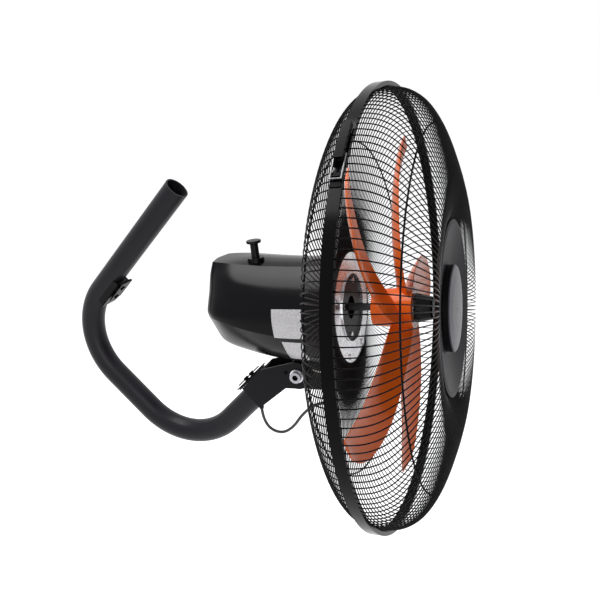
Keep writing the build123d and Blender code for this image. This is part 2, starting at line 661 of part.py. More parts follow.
def blade_section(radius, lead, trail, s_lead, s_trail, camber, thick):
    """Thin arched profile on a plane square to the blade, its ends at the given radius."""
    middle = (lead + trail) / 2
    half = math.radians(lead - trail) / 2
    reach = radius * math.sin(half)
    x, z = polar(radius * math.cos(half), middle)
    ex, ez = math.cos(math.radians(middle)), -math.sin(math.radians(middle))

    def spot(t, s):
        return x + ex * t, -s, z + ez * t

    run_t, run_s = -2 * reach, s_trail - s_lead
    chord = math.hypot(run_t, run_s)
    nt, ns = run_s / chord, -run_t / chord
    end = 0.5

    def shifted(t, s, out):
        return spot(t + nt * out, s + ns * out)

    mid_t, mid_s = 0.0, (s_lead + s_trail) / 2
    arch_0 = ThreePointArc(shifted(reach, s_lead, end), shifted(mid_t, mid_s, thick / 2 - camber),
                           shifted(-reach, s_trail, end))
    arch_1 = ThreePointArc(shifted(-reach, s_trail, -end), shifted(mid_t, mid_s, -thick / 2 - camber),
                           shifted(reach, s_lead, -end))
    side_0 = Line(arch_0 @ 1, arch_1 @ 0)
    side_1 = Line(arch_1 @ 1, arch_0 @ 0)
    return make_face(Wire([arch_0, side_0, arch_1, side_1]))


BLADE_PLAN = [
    # share of the tip radius, leading angle, trailing angle, leading s, trailing s, camber
    (0.069, -44.0, -122.0, -2.0, 16.0, 1.0),
    (0.138, -44.0, -106.0, -4.0, 15.0, 2.0),
    (0.275, -45.0, -88.0, -6.0, 12.0, 4.0),
    (0.459, -44.5, -75.0, -8.0, 9.0, 5.0),
    (0.642, -42.0, -65.0, -9.0, 6.0, 5.0),
    (0.826, -38.0, -54.5, -9.5, 2.0, 4.0),
    (0.94, -35.0, -47.0, -9.0, -1.0, 3.0),
    (1.0, -33.5, -41.0, -7.5, -4.0, 1.0),
]


def make_impeller():
    hub = spun([(SHAFT_R + PIN_FIT, HUB_FRONT), (HUB_FRONT_R, HUB_FRONT), (HUB_BACK_R, HUB_BACK),
                (SHAFT_R + PIN_FIT, HUB_BACK)])
    faces = [blade_section(share * TIP_R, lead, trail, s0, s1, camber, BLADE_T)
             for share, lead, trail, s0, s1, camber in BLADE_PLAN]
    blade = loft(faces)
    blades = [blade.rotate(Axis.Y, 360 * k / BLADES) for k in range(BLADES)]
    wheel = hub.fuse(*blades)
    wheel -= ring(HUB_FRONT - 5, HUB_BACK + 5, SHAFT_R + PIN_FIT)
    wheel -= block(-14, 14, PIN_Y - 1.6, HUB_BACK + 5, -1.6, 1.6)
    parts["fan_blade"] = wheel
    parts["hub_washer"] = ring(HUB_FRONT - WASHER_T, HUB_FRONT, 12, SHAFT_R + PIN_FIT)
    nut_back = HUB_FRONT - WASHER_T
    nut_front = -42.0
    nut = spun([(SHAFT_R, nut_back), (17, nut_back), (17, nut_back - 3), (13.5, nut_front + 2),
                (11.5, nut_front), (0, nut_front), (0, THREAD_END), (SHAFT_R, THREAD_END)])
    for k in range(12):
        x, z = polar(18.2, 360 * k / 12)
        nut -= along_y(x, z, nut_front - 1, nut_back - 3, 2.6)
    parts["spinner_nut"] = nut


# ------------------------------------------------------------------ gearing
pitch = math.pi * MODULE
wheel_r = MODULE * WHEEL_TEETH / 2
pinion_r = MODULE * PINION_TEETH / 2
crank_gear_r = MODULE * CRANK_TEETH / 2
KNOB_X = -(WORM_R + wheel_r)
CRANK_X = KNOB_X + pinion_r + crank_gear_r
WORM_TURNS = 8
WORM_END = GEAR_Y + pitch * WORM_TURNS / 2 + 2
CASE_FRONT = shield_back + 4
CASE_BACK = GEAR_Y + crank_gear_r + 4.5
CASE_LEFT = KNOB_X - wheel_r - 4.5
CASE_RIGHT = CRANK_X + crank_gear_r + 4.5
CASE_EARS = ((-29.0, -2.0), (40.5, -2.0))
CASE_TOP = 8.0
PINION_Z = (-13.5, -5.6)
CRANK_Z = (-12.5, -7.5)
CASE_FLOOR = -16.0
HOUSING_SCREW = (10.0, 0.0)
BOSS_TOP = 66.8
COLLAR_NECK_R = 7.9


def gear_face(teeth, tip, root, turn=0.0):
    """Outline of a gear with straight-sided teeth, one centred on +X plus turn."""
    radius = MODULE * teeth / 2
    thick = pitch * TOOTH_SHARE
    flank = math.tan(math.radians(20))
    points = []
    for k in range(teeth):
        middle = 2 * math.pi * k / teeth + math.radians(turn)
        for r, half in ((radius - root, thick / 2 + root * flank), (radius + tip, thick / 2 - tip * flank)):
            points.append((middle, r, half))
    outline = []
    for middle, r, half in points:
        angle = half / r
        if r < radius:
            low = (r, middle, angle)
        else:
            outline.append((low[0], low[1] - low[2]))
            outline.append((r, middle - angle))
            outline.append((r, middle + angle))
            outline.append((low[0], low[1] + low[2]))
    return make_face(Polyline(*[(r * math.cos(a), r * math.sin(a)) for r, a in outline], close=True))


def gear(teeth, x, z0, z1, tip, root, turn=0.0):
    return extrude(gear_face(teeth, tip, root, turn), amount=z1 - z0).moved(Location((x, GEAR_Y, z0)))


def make_worm():
    root = WORM_R - 0.9
    height = pitch * WORM_TURNS
    helix = Helix(pitch=pitch, height=height, radius=root)
    flank = math.tan(math.radians(20))
    low = pitch * TOOTH_SHARE / 2 + 0.9 * flank
    high = pitch * TOOTH_SHARE / 2 - 0.8 * flank
    flat = Plane(origin=helix @ 0, x_dir=(1, 0, 0), z_dir=helix % 0)
    tooth = flat * make_face(Polyline((-0.1, -low), (1.7, -high), (1.7, high), (-0.1, low), close=True))
    thread = sweep(tooth, path=helix, is_frenet=True)
    core = Cylinder(root, height + 3) - Cylinder(TAIL_R, height + 5)
    worm = core.moved(Location((0, 0, height / 2))) + thread
    parts["worm"] = worm.rotate(Axis.X, -90).moved(Location((0, GEAR_Y - height / 2, 0)))


SPINDLE_R = 3.6
SPINDLE_TOP = 30.0


def make_gears():
    wheel = gear(WHEEL_TEETH, KNOB_X, -1.6, 1.6, 0.8, 1.0)
    wheel += upright(KNOB_X, GEAR_Y, -5, 5, 5.2)
    wheel -= upright(KNOB_X, GEAR_Y, -6, 6, SPINDLE_R)
    parts["worm_wheel"] = wheel
    spindle = upright(KNOB_X, GEAR_Y, CASE_FLOOR + SLIP, SPINDLE_TOP, SPINDLE_R)
    spindle -= upright(KNOB_X, GEAR_Y, -4.2, SPINDLE_TOP + 1, 2.5 + SLIP)
    pinion = gear(PINION_TEETH, KNOB_X, PINION_Z[0], PINION_Z[1], 0.6, 0.9)
    lower_spindle = upright(KNOB_X, GEAR_Y, CASE_FLOOR + SLIP, PINION_Z[1] + 0.2, 2.2)
    spindle = spindle - upright(KNOB_X, GEAR_Y, CASE_FLOOR - 1, PINION_Z[1] + 0.2, 5)
    parts["pinion_spindle"] = spindle + lower_spindle + pinion
    crank_gear = gear(CRANK_TEETH, CRANK_X, CRANK_Z[0], CRANK_Z[1], 0.6, 0.9, 180 / CRANK_TEETH)
    parts["crank_gear"] = crank_gear - upright(CRANK_X, GEAR_Y, CRANK_Z[0] - 1, CRANK_Z[1] + 1, 4)
    disc_z = LINK_Z + LINK_T + 1
    crank = upright(CRANK_X, GEAR_Y, disc_z, CRANK_Z[1], 4)
    crank += upright(CRANK_X, GEAR_Y, disc_z, disc_z + 4, CRANK_R + 4)
    crank += upright(CRANK_X + CRANK_R, GEAR_Y, LINK_Z - 1, disc_z + 1, 2.5)
    parts["crank_spindle"] = crank


def make_gearbox():
    boss_low = LINK_Z + LINK_T + 1 + 4 + LOOSE
    outer = block(CASE_LEFT, CASE_RIGHT, CASE_FRONT, CASE_BACK, CASE_FLOOR - CASE_WALL, CASE_TOP)
    outer = fillet(outer.edges().filter_by(Axis.Z), 5)
    inner = block(CASE_LEFT + CASE_WALL, CASE_RIGHT - CASE_WALL, CASE_FRONT + CASE_WALL, CASE_BACK - CASE_WALL,
                  CASE_FLOOR, CASE_TOP + 1)
    inner = fillet(inner.edges().filter_by(Axis.Z), 2.5)
    case = outer - inner
    case += upright(CRANK_X, GEAR_Y, boss_low, CASE_FLOOR - 0.5, 7)
    case -= upright(CRANK_X, GEAR_Y, boss_low - 1, CASE_FLOOR + 1, 4 + RUN_FIT)
    case -= along_y(0, 0, CASE_FRONT - 1, CASE_FRONT + CASE_WALL + 1, SHAFT_R + 1)
    for x, z in CASE_EARS:
        inner_x = CASE_LEFT + 1 if x < 0 else CASE_RIGHT - 1
        ear = block(min(x, inner_x), max(x, inner_x), CASE_FRONT, CASE_FRONT + 3, z - 4, z + 4)
        ear += along_y(x, z, CASE_FRONT, CASE_FRONT + 3, 4)
        case += ear
        case -= along_y(x, z, CASE_FRONT - 1, CASE_FRONT + 4, 1.5 + SLIP)
    x, z = HOUSING_SCREW
    case += along_y(x, z, CASE_BACK - 1, CASE_BACK + 16, 5)
    case -= along_y(x, z, CASE_BACK - CASE_WALL - 1, CASE_BACK + 17, BOLT_R)
    parts["gearbox_case"] = case
    screws = []
    for x, z in CASE_EARS:
        screw = along_y(x, z, shield_back, CASE_FRONT + 4, 1.5) + along_y(x, z, CASE_FRONT + 3, CASE_FRONT + 5, 3)
        screws.append(screw)
    cover = block(CASE_LEFT, CASE_RIGHT, CASE_FRONT, CASE_BACK, CASE_TOP, CASE_TOP + 2)
    cover = fillet(cover.edges().filter_by(Axis.Z), 5)
    cover += upright(KNOB_X, GEAR_Y, CASE_TOP, SPINDLE_TOP + 3, SPINDLE_R + 3)
    cover -= upright(KNOB_X, GEAR_Y, CASE_TOP - 1, SPINDLE_TOP + SLIP, SPINDLE_R + RUN_FIT)
    cover -= upright(KNOB_X, GEAR_Y, SPINDLE_TOP - 1, SPINDLE_TOP + 4, 2.5 + SLIP)
    parts["gearbox_cover"] = cover
    capacitor = block(CRANK_X - 10, CRANK_X + 16, CASE_FRONT + 4, CASE_FRONT + 42, CASE_TOP + 2, CASE_TOP + 18)
    parts["capacitor"] = fillet(capacitor.edges(), 1.5)
    return screws


def make_link():
    start = (CRANK_X + CRANK_R, GEAR_Y)
    end = (stud_reach, SWIVEL_Y)
    length = math.dist(start, end)
    angle = math.degrees(math.atan2(end[1] - start[1], end[0] - start[0]))
    bar = Box(length, 8, LINK_T, align=(Align.MIN, Align.CENTER, Align.MIN))
    bar = bar.rotate(Axis.Z, angle).moved(Location((start[0], start[1], LINK_Z)))
    link = bar
    for x, y in (start, end):
        link += upright(x, y, LINK_Z, LINK_Z + LINK_T, 5.5)
    link -= upright(start[0], start[1], LINK_Z - 1, LINK_Z + LINK_T + 1, 2.5 + PIN_FIT)
    link -= upright(end[0], end[1], LINK_Z - 1, LINK_Z + LINK_T + 1, STUD_R + PIN_FIT)
    parts["drive_link"] = link


# ------------------------------------------------------------------ knob
def make_knob():
    collar = upright(KNOB_X, GEAR_Y, BOSS_TOP, BOSS_TOP + 1.5, 9.9)
    collar += upright(KNOB_X, GEAR_Y, BOSS_TOP - 6, BOSS_TOP + 1, COLLAR_NECK_R - PIN_FIT)
    collar -= upright(KNOB_X, GEAR_Y, BOSS_TOP - 7, BOSS_TOP + 3, KNOB_STEM_R + SLIP)
    parts["knob_collar"] = collar
    disc = upright(KNOB_X, GEAR_Y, KNOB_TOP - 3.6, KNOB_TOP, KNOB_R)
    disc = fillet(disc.edges().filter_by(GeomType.CIRCLE), 1.2)
    knob = disc + upright(KNOB_X, GEAR_Y, BOSS_TOP - 8, KNOB_TOP - 3, KNOB_STEM_R)
    knob += upright(KNOB_X, GEAR_Y, KNOB_TRAVEL - 4, BOSS_TOP - 7, 2.5)
    knob -= upright(KNOB_X, GEAR_Y, KNOB_TOP - 2, KNOB_TOP + 1, 1.2)
    parts["osc_knob"] = knob


# ------------------------------------------------------------------ guards
band_in = BAND_R - BAND_T
rim_out = band_in - PIN_FIT
rim_in = rim_out - RIM_DEPTH
wire_end = rim_in + 0.5 - WIRE_R
RIM_0 = 0.4             # near face of each rim, from the band's middle
RIM_1 = 4.7
lip_in = BAND_HALF - BAND_LIP

HUB_RING_Y = -62.0
RING_HALF = 1.5         # half the width of a stiffening ring
RING_SEAT = 0.6         # ring's near face, inside the middle of the wires it is welded to
FRONT_PROFILE = [(DISH_R - 4, 61), (DISH_R + 29, 71.5), (wire_end - 58.8, 59.5), (wire_end - 12.8, 37),
                 (wire_end, 17), (wire_end, 2.5)]
FRONT_ROUNDS = [60, 90, 40, 22]
REAR_PROFILE = [(PLATE_R + 0.9, 56.2), (PLATE_R + 83.4, 53.5), (wire_end - 41.8, 43), (wire_end - 10.8, 27),
                (wire_end, 12), (wire_end, 2.5)]
REAR_ROUNDS = [150, 80, 40, 15]


def wire_depth(profile, radius):
    """Depth of a guard's wires at a radius, before their corners are rounded."""
    for (r0, y0), (r1, y1) in zip(profile, profile[1:]):
        if r0 <= radius < r1:
            return y0 + (y1 - y0) * (radius - r0) / (r1 - r0)


def stiffener(profile, radius, side):
    """Ring welded inside the wires of a guard."""
    near = wire_depth(profile, radius) - RING_SEAT
    return ring(*sorted((side * near, side * (near - 2 * RING_HALF))), radius + RING_HALF, radius - RING_HALF)


def guard(profile, rounds, side):
    """All radial wires of one guard, fused to its rim."""
    path = FilletPolyline(*[(r, side * y, 0) for r, y in profile], radius=rounds)
    wire = sweep(Plane(origin=path @ 0, z_dir=path % 0) * Circle(WIRE_R), path=path)
    rim = ring(*sorted((side * RIM_0, side * RIM_1)), rim_out, rim_in)
    wires = [wire.rotate(Axis.Y, 360 * k / WIRES) for k in range(WIRES)]
    return rim.fuse(*wires)


def make_guards():
    front = guard(FRONT_PROFILE, FRONT_ROUNDS, -1)
    front = front.fuse(ring(HUB_RING_Y - RING_HALF, HUB_RING_Y + RING_HALF, DISH_R - 1, DISH_R - 6))
    front = front.fuse(stiffener(FRONT_PROFILE, FRONT_RING_R, -1))
    parts["front_guard"] = front
    rear = guard(REAR_PROFILE, REAR_ROUNDS, 1)
    rear = rear.fuse(ring(plate_front - 1.0, plate_back, PLATE_R + 3, PLATE_R + PIN_FIT))
    rear = rear.fuse(stiffener(REAR_PROFILE, REAR_RING_R, 1))
    parts["rear_guard"] = rear


def make_front_plate():
    dish = spun([(0, -59), (54, -59), (60, -60), (DISH_R - 5, -66), (DISH_R, -65.4), (DISH_R, -63.6),
                 (DISH_R - 7, -63.6), (60, -58.4), (54, -57.4), (0, -57.4)])
    badge = spun([(0, -59.05), (BADGE_R - 1, -59.05), (BADGE_R, -60), (BADGE_R, -66), (BADGE_R - 1.5, -67.2),
                  (30, -68.2), (0, -68.6)])
    clips = []
    for angle in (0, 120, 240):
        x, z = polar(34, angle)
        dish -= along_y(x, z, -70, -50, 2.1)
        badge += along_y(x, z, -60, -54.4, 2.0)
        clips.append(along_y(x, z, -57.35, -56.4, 5, 2.0))
    parts["centre_plate"] = dish
    parts["badge"] = badge
    parts["badge_clips"] = Compound(children=clips)


# ------------------------------------------------------------------ clamp band and latch
GAP_HALF = 1.0          # half of the band's gap, degrees
LATCH_PIN_H = 3.2       # latch hinge above the band
HOOK_AHEAD = 7.0        # hook pivot ahead of the latch hinge, along the lever
HOOK_H = 2.4
HOOK_BACK = -20.0       # cross bar of the hook
LATCH_PIN_R = 1.2
HOOK_R = 0.75


def latched(solid):
    """Turn a piece built at the top of the band to the latch's place."""
    return solid.rotate(Axis.Y, LATCH_A)


def degrees_of(length):
    return math.degrees(length / BAND_R)


def make_band():
    gap_middle = LATCH_A - degrees_of(7.5)
    profile = [(band_in, -lip_in), (band_in, lip_in), (band_in - 3.2, lip_in), (band_in - 3.2, BAND_HALF),
               (BAND_R, BAND_HALF), (BAND_R, -BAND_HALF), (band_in - 3.2, -BAND_HALF), (band_in - 3.2, -lip_in)]
    band = spun(profile, 360 - 2 * GAP_HALF).rotate(Axis.Y, gap_middle + GAP_HALF - 90)
    parts["clamp_band"] = band
    base = sector(-5, 5, BAND_R + 0.02, BAND_R + 1, -degrees_of(3.5), degrees_of(5))
    for y0 in (-3.0, 2.0):
        ear = along_y(0, BAND_R + LATCH_PIN_H, y0, y0 + 1, 2.2)
        ear += block(-2.2, 2.2, y0, y0 + 1, BAND_R + 0.5, BAND_R + LATCH_PIN_H)
        base += ear
    base -= along_y(0, BAND_R + LATCH_PIN_H, -5, 5, LATCH_PIN_R)
    pin = along_y(0, BAND_R + LATCH_PIN_H, -4.4, 4.4, LATCH_PIN_R)
    parts["latch_base"] = Compound(children=[latched(base), latched(pin)])
    catch = sector(-5, 5, BAND_R + 0.02, BAND_R + 1, -degrees_of(27), -degrees_of(12))
    wall = HOOK_BACK + HOOK_R + 0.3
    catch += block(wall, wall + 1.2, -3.5, 3.5, BAND_R - 0.5, BAND_R + 4.2) & ring(-4, 4, BAND_R + 5, BAND_R + 0.5)
    parts["latch_catch"] = latched(catch)


def make_lever():
    pin = BAND_R + LATCH_PIN_H
    top = BAND_R + 5.9
    tail = degrees_of(45)
    lever = sector(-4.2, 4.2, top, top + 1, degrees_of(0.2), tail)
    for y0 in (-4.2, 3.2):
        cheek = sector(y0, y0 + 1, BAND_R + 1.3, top + 0.5, degrees_of(2.2), tail)
        cheek += along_y(0, pin, y0, y0 + 1, 1.9)
        cheek += block(0, 4, y0, y0 + 1, pin - 1.8, top + 0.8)
        lever += cheek
    lever -= along_y(0, pin, -6, 6, LATCH_PIN_R + PIN_FIT)
    lever -= along_y(HOOK_AHEAD, BAND_R + HOOK_H, -6, 6, HOOK_R + PIN_FIT)
    parts["latch_lever"] = latched(lever)
    hook_z = BAND_R + HOOK_H
    hook = along_y(HOOK_BACK, hook_z, -5.9, 5.9, HOOK_R)
    for side in (-1, 1):
        leg = along_x(0, 0, HOOK_BACK, HOOK_AHEAD, HOOK_R).moved(Location((0, side * 5.2, hook_z)))
        stub = along_y(HOOK_AHEAD, hook_z, *sorted((side * 3.3, side * 5.9)), HOOK_R)
        hook += leg + stub
    parts["latch_hook"] = latched(hook)


# ------------------------------------------------------------------ build and write
make_pads()
make_arm()
make_bracket()
make_lead()
make_neck()
make_swivel_frame()
screws_m4 = [make_housing()]
make_labels()
make_stator()
make_shields()
screws_m3 = make_cover()
screws_m4 += make_rear_plate()
make_rotor()
make_impeller()
make_worm()
make_gears()
screws_m3 += make_gearbox()
parts["screws_m3"] = Compound(children=screws_m3)
parts["screws_m4"] = Compound(children=screws_m4)
make_link()
make_knob()
make_guards()
make_front_plate()
make_band()
make_lever()

to_mouth = Location((0, -MOUTH_Y, -MOUTH_Z))
for name, solid in parts.items():
    export_step(solid.moved(to_mouth), "parts/" + name + ".step")
print(len(parts), "sub-parts written")
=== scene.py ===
import json
import math

import bmesh
import bpy
from mathutils import Matrix, Vector


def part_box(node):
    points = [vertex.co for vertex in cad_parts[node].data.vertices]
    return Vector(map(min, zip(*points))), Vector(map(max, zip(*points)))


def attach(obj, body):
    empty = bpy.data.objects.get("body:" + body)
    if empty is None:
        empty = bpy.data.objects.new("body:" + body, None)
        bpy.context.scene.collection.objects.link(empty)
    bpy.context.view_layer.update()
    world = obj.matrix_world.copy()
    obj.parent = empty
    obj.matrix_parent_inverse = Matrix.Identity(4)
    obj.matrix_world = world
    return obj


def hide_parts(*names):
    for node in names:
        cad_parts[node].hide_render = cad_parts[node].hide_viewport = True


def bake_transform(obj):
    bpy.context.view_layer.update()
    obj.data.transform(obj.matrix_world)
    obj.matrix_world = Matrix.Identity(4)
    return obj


# A wall mounted fan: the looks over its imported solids.
# Lengths and points are written in mm, unless a comment says metres. Points are about the centre
# of the guard's clamp band, with the front towards -Y. at() moves them to the frame, which is in
# metres with its origin at the arm's open end.

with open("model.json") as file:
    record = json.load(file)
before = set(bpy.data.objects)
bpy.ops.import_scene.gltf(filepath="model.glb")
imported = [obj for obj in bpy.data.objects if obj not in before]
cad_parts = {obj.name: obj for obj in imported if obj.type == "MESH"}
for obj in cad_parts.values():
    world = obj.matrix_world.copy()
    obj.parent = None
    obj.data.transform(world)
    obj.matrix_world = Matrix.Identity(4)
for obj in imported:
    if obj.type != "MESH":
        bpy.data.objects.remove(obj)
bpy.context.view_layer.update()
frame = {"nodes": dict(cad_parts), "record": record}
nodes = frame["nodes"]

MM = 0.001
MOUTH = Vector((0.0, 272.5, 156.9))


def at(x, y, z):
    return (Vector((x, y, z)) - MOUTH) * MM


def placed(name, data):
    """New object in the scene that holds the data."""
    holder = bpy.data.objects.new(name, data)
    bpy.context.scene.collection.objects.link(holder)
    return holder


def evaluated_mesh(piece):
    """The piece's mesh with its modifiers, or a curve's as a mesh."""
    bpy.context.view_layer.update()
    depsgraph = bpy.context.evaluated_depsgraph_get()
    return bpy.data.meshes.new_from_object(piece.evaluated_get(depsgraph))


# ------------------------------------------------------------------ materials
def link(tree, a, b):
    tree.links.new(a, b)


def noise(tree, scale, detail, stretch):
    """Noise over the object's own coordinates, with scale in waves a metre."""
    place = tree.nodes.new("ShaderNodeTexCoord")
    mapping = tree.nodes.new("ShaderNodeMapping")
    mapping.inputs["Scale"].default_value = stretch
    texture = tree.nodes.new("ShaderNodeTexNoise")
    texture.inputs["Scale"].default_value = scale
    texture.inputs["Detail"].default_value = detail
    link(tree, place.outputs["Object"], mapping.inputs["Vector"])
    link(tree, mapping.outputs["Vector"], texture.inputs["Vector"])
    return texture.outputs["Fac"]


def ranged(tree, value, low, high, start=0.3, end=0.7):
    """Stretch the value from start..end to low..high."""
    node = tree.nodes.new("ShaderNodeMapRange")
    node.inputs["From Min"].default_value = start
    node.inputs["From Max"].default_value = end
    node.inputs["To Min"].default_value = low
    node.inputs["To Max"].default_value = high
    link(tree, value, node.inputs["Value"])
    return node.outputs["Result"]


# the colour sockets of a Mix node, which shares its names among its data types
MIX_FACTOR, MIX_A, MIX_B, MIX_RESULT = 0, 6, 7, 2


def mixed(tree, factor, colour_a, colour_b):
    node = tree.nodes.new("ShaderNodeMix")
    node.data_type = "RGBA"
    link(tree, factor, node.inputs[MIX_FACTOR])
    node.inputs[MIX_A].default_value = (*colour_a, 1.0)
    node.inputs[MIX_B].default_value = (*colour_b, 1.0)
    return node.outputs[MIX_RESULT]


def shade_of(colour, factor):
    return tuple(min(1.0, c * factor) for c in colour)


NOISE_DETAIL = 2.0
LEAST_ROUGH = 0.02
STRENGTH_PER_MM = 10


def material(name, colour, rough, metal=0.0, spread=0.06, mottle=0.08, mottle_scale=35.0, grain=900.0,
             depth=0.02, stretch=(1, 1, 1), **uniform):
    """Principled surface with uneven colour and gloss and a fine grain.

    spread is how far the roughness strays, mottle how far the colour strays, both as shares.
    mottle_scale and grain are in waves a metre, depth is the grain's in mm, and uniform holds
    plain sockets by name.
    """
    made = bpy.data.materials.new(name)
    made.use_nodes = True
    tree = made.node_tree
    shader = tree.nodes["Principled BSDF"]
    shader.inputs["Metallic"].default_value = metal
    for socket, value in uniform.items():
        shader.inputs[socket.replace("_", " ")].default_value = value
    patches = ranged(tree, noise(tree, mottle_scale, NOISE_DETAIL, stretch), 0.0, 1.0)
    dark, light = shade_of(colour, 1 - mottle), shade_of(colour, 1 + mottle)
    link(tree, mixed(tree, patches, dark, light), shader.inputs["Base Color"])
    fine = noise(tree, grain, NOISE_DETAIL, stretch)
    gloss = ranged(tree, fine, max(LEAST_ROUGH, rough - spread), min(1.0, rough + spread))
    link(tree, gloss, shader.inputs["Roughness"])
    bump = tree.nodes.new("ShaderNodeBump")
    bump.inputs["Strength"].default_value = min(1.0, depth * STRENGTH_PER_MM)
    bump.inputs["Distance"].default_value = depth * MM
    link(tree, fine, bump.inputs["Height"])
    link(tree, bump.outputs["Normal"], shader.inputs["Normal"])
    return made


FINISHES = {
    # slot: colour, roughness and the rest of material()'s values
    "arm_coat": dict(colour=(0.014, 0.0125, 0.016), rough=0.34, spread=0.05, grain=1500, depth=0.03,
                     mottle=0.05, Specular_IOR_Level=0.16),
    "black_steel": dict(colour=(0.0030, 0.0030, 0.0035), rough=0.24, grain=1400, depth=0.01,
                        Specular_IOR_Level=0.03),
    "bracket_coat": dict(colour=(0.009, 0.0085, 0.0105), rough=0.34, spread=0.05, grain=1500, depth=0.03,
                         mottle=0.05, Specular_IOR_Level=0.10),
    "band_gloss": dict(colour=(0.0016, 0.0016, 0.0019), rough=0.18, grain=1400, depth=0.006,
                       Specular_IOR_Level=0.06),
    "wire_black": dict(colour=(0.0035, 0.0035, 0.004), rough=0.30, grain=1200, depth=0.01,
                       Specular_IOR_Level=0.06),
    "housing_plastic": dict(colour=(0.0030, 0.0026, 0.0036), rough=0.20, spread=0.03, grain=1800,
                            depth=0.005, mottle=0.06, Specular_IOR_Level=0.10),
    "blade_orange": dict(colour=(0.88, 0.145, 0.014), rough=0.21, spread=0.03, grain=700, depth=0.006,
                         mottle=0.04, mottle_scale=14, Specular_IOR_Level=0.22),
    "black_plastic": dict(colour=(0.006, 0.006, 0.0065), rough=0.30, grain=1600, depth=0.015,
                          Specular_IOR_Level=0.12),
    "grey_plastic": dict(colour=(0.018, 0.0165, 0.020), rough=0.30, spread=0.05, grain=1500, depth=0.008,
                         Specular_IOR_Level=0.008),
    "badge_face": dict(colour=(0.070, 0.067, 0.083), rough=0.22, spread=0.03, grain=1200, depth=0.006,
                       Specular_IOR_Level=0.018),
    "label_silver": dict(colour=(0.50, 0.49, 0.50), rough=0.42, metal=0.45, spread=0.1, grain=1600,
                         depth=0.01, mottle=0.16, mottle_scale=520),
    "bolt_steel": dict(colour=(0.30, 0.30, 0.32), rough=0.30, metal=1.0, spread=0.09, grain=500,
                       depth=0.02, mottle=0.14, mottle_scale=60),
    "zinc_steel": dict(colour=(0.60, 0.60, 0.62), rough=0.24, metal=1.0, spread=0.09, grain=500,
                       depth=0.02, mottle=0.14, mottle_scale=60),
    "chrome": dict(colour=(0.86, 0.86, 0.88), rough=0.09, metal=1.0, spread=0.04, grain=900, depth=0.004),
    "lever_grey": dict(colour=(0.22, 0.22, 0.23), rough=0.34, metal=0.8, spread=0.06, grain=900,
                       depth=0.006),
    "cast_alloy": dict(colour=(0.012, 0.011, 0.014), rough=0.40, spread=0.08, grain=900, depth=0.05,
                       Specular_IOR_Level=0.15),
    "die_cast": dict(colour=(0.055, 0.055, 0.060), rough=0.42, metal=0.6, spread=0.08, grain=700,
                     depth=0.06),
    "core_steel": dict(colour=(0.05, 0.05, 0.054), rough=0.5, metal=0.9, grain=900, depth=0.04,
                       stretch=(0.2, 6, 0.2)),
    "copper": dict(colour=(0.62, 0.24, 0.10), rough=0.32, metal=0.9, grain=800, depth=0.2, mottle=0.25,
                   mottle_scale=300, stretch=(1, 5, 1)),
    "bronze": dict(colour=(0.50, 0.31, 0.13), rough=0.45, metal=1.0, grain=1500, depth=0.05),
    "nylon": dict(colour=(0.78, 0.75, 0.66), rough=0.42, grain=900, depth=0.02),
    "rubber": dict(colour=(0.010, 0.010, 0.010), rough=0.62, spread=0.1, grain=1200, depth=0.04,
                   Specular_IOR_Level=0.2),
    "lead_jacket": dict(colour=(0.030, 0.030, 0.033), rough=0.40, spread=0.08, grain=900, depth=0.03),
}
finishes = {slot: material(slot, **values) for slot, values in FINISHES.items()}


DRESSED = {
    # nodes whose finish differs from the record's slot, as they look in place
    "badge": "black_plastic", "clamp_band": "band_gloss", "front_cover": "black_steel",
    "latch_base": "black_steel", "latch_catch": "black_steel", "latch_hook": "lever_grey",
    "latch_lever": "black_steel", "pad_caps": "black_steel", "pad_plates": "black_steel",
    "pad_saddles": "black_plastic", "pad_screws": "black_steel", "rotor_shaft": "core_steel",
    "tilt_bolt": "bolt_steel", "tilt_bracket": "bracket_coat", "tilt_stop_pin": "black_steel",
}
# a face looks to the front where its normal's y is under this
FACING_FRONT = -0.7
# the bolt's socket lies within this of its axis, and its faces there carry painted shade
SOCKET_SHADE_REACH = 3.9


def dress(piece, slot):
    piece.data.materials.clear()
    piece.data.materials.append(finishes[slot])


def two_tone(node, slot, picked):
    """Give a CAD piece a second finish on the faces picked by their middle, in metres, and normal."""
    mesh = nodes[node].data
    mesh.materials.append(finishes[slot])
    for polygon in mesh.polygons:
        if picked(polygon.center, polygon.normal):
            polygon.material_index = 1


for part in frame["record"]["subparts"]:
    dress(nodes[part["node"]], DRESSED.get(part["node"], part["material_slot"]))

# the badge has a paler face, and the bolt's socket has painted shade: its faces near the axis take the
# black finish
two_tone("badge", "badge_face", lambda middle, normal: normal.y < FACING_FRONT)
bolt_low, bolt_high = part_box("tilt_bolt")
bolt_y, bolt_z = ((low + high) / 2 for low, high in zip(bolt_low[1:], bolt_high[1:]))
# painted shade: the black finish stands in for the shade that falls inside the bolt's socket
two_tone("tilt_bolt", "black_steel",
         lambda middle, normal: math.hypot(middle.y - bolt_y, middle.z - bolt_z) < SOCKET_SHADE_REACH * MM)


# ------------------------------------------------------------------ mesh helpers
def new_piece(name, vertices, faces, slot, body, smooth=True):
    """Object in the frame's metres, which rides on the body unless that is None."""
    mesh = bpy.data.meshes.new(name)
    mesh.from_pydata([tuple(v) for v in vertices], [], faces)
    mesh.validate()
    mesh.update()
    piece = placed(name, mesh)
    dress(piece, slot)
    mesh.polygons.foreach_set("use_smooth", [smooth] * len(mesh.polygons))
    if body:
        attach(piece, body)
    return piece


def smooth_line(points, steps):
    """Catmull-Rom line through the points, with each span cut into steps."""
    ends = [points[0], *points, points[-1]]
    line = []
    for p0, p1, p2, p3 in zip(ends, ends[1:], ends[2:], ends[3:]):
        for k in range(steps):
            t = k / steps
            line.append(tuple(0.5 * (2 * b + (c - a) * t + (2 * a - 5 * b + 4 * c - d) * t * t
                                     + (3 * b - a - 3 * c + d) * t ** 3)
                              for a, b, c, d in zip(p0, p1, p2, p3)))
    return line + [points[-1]]


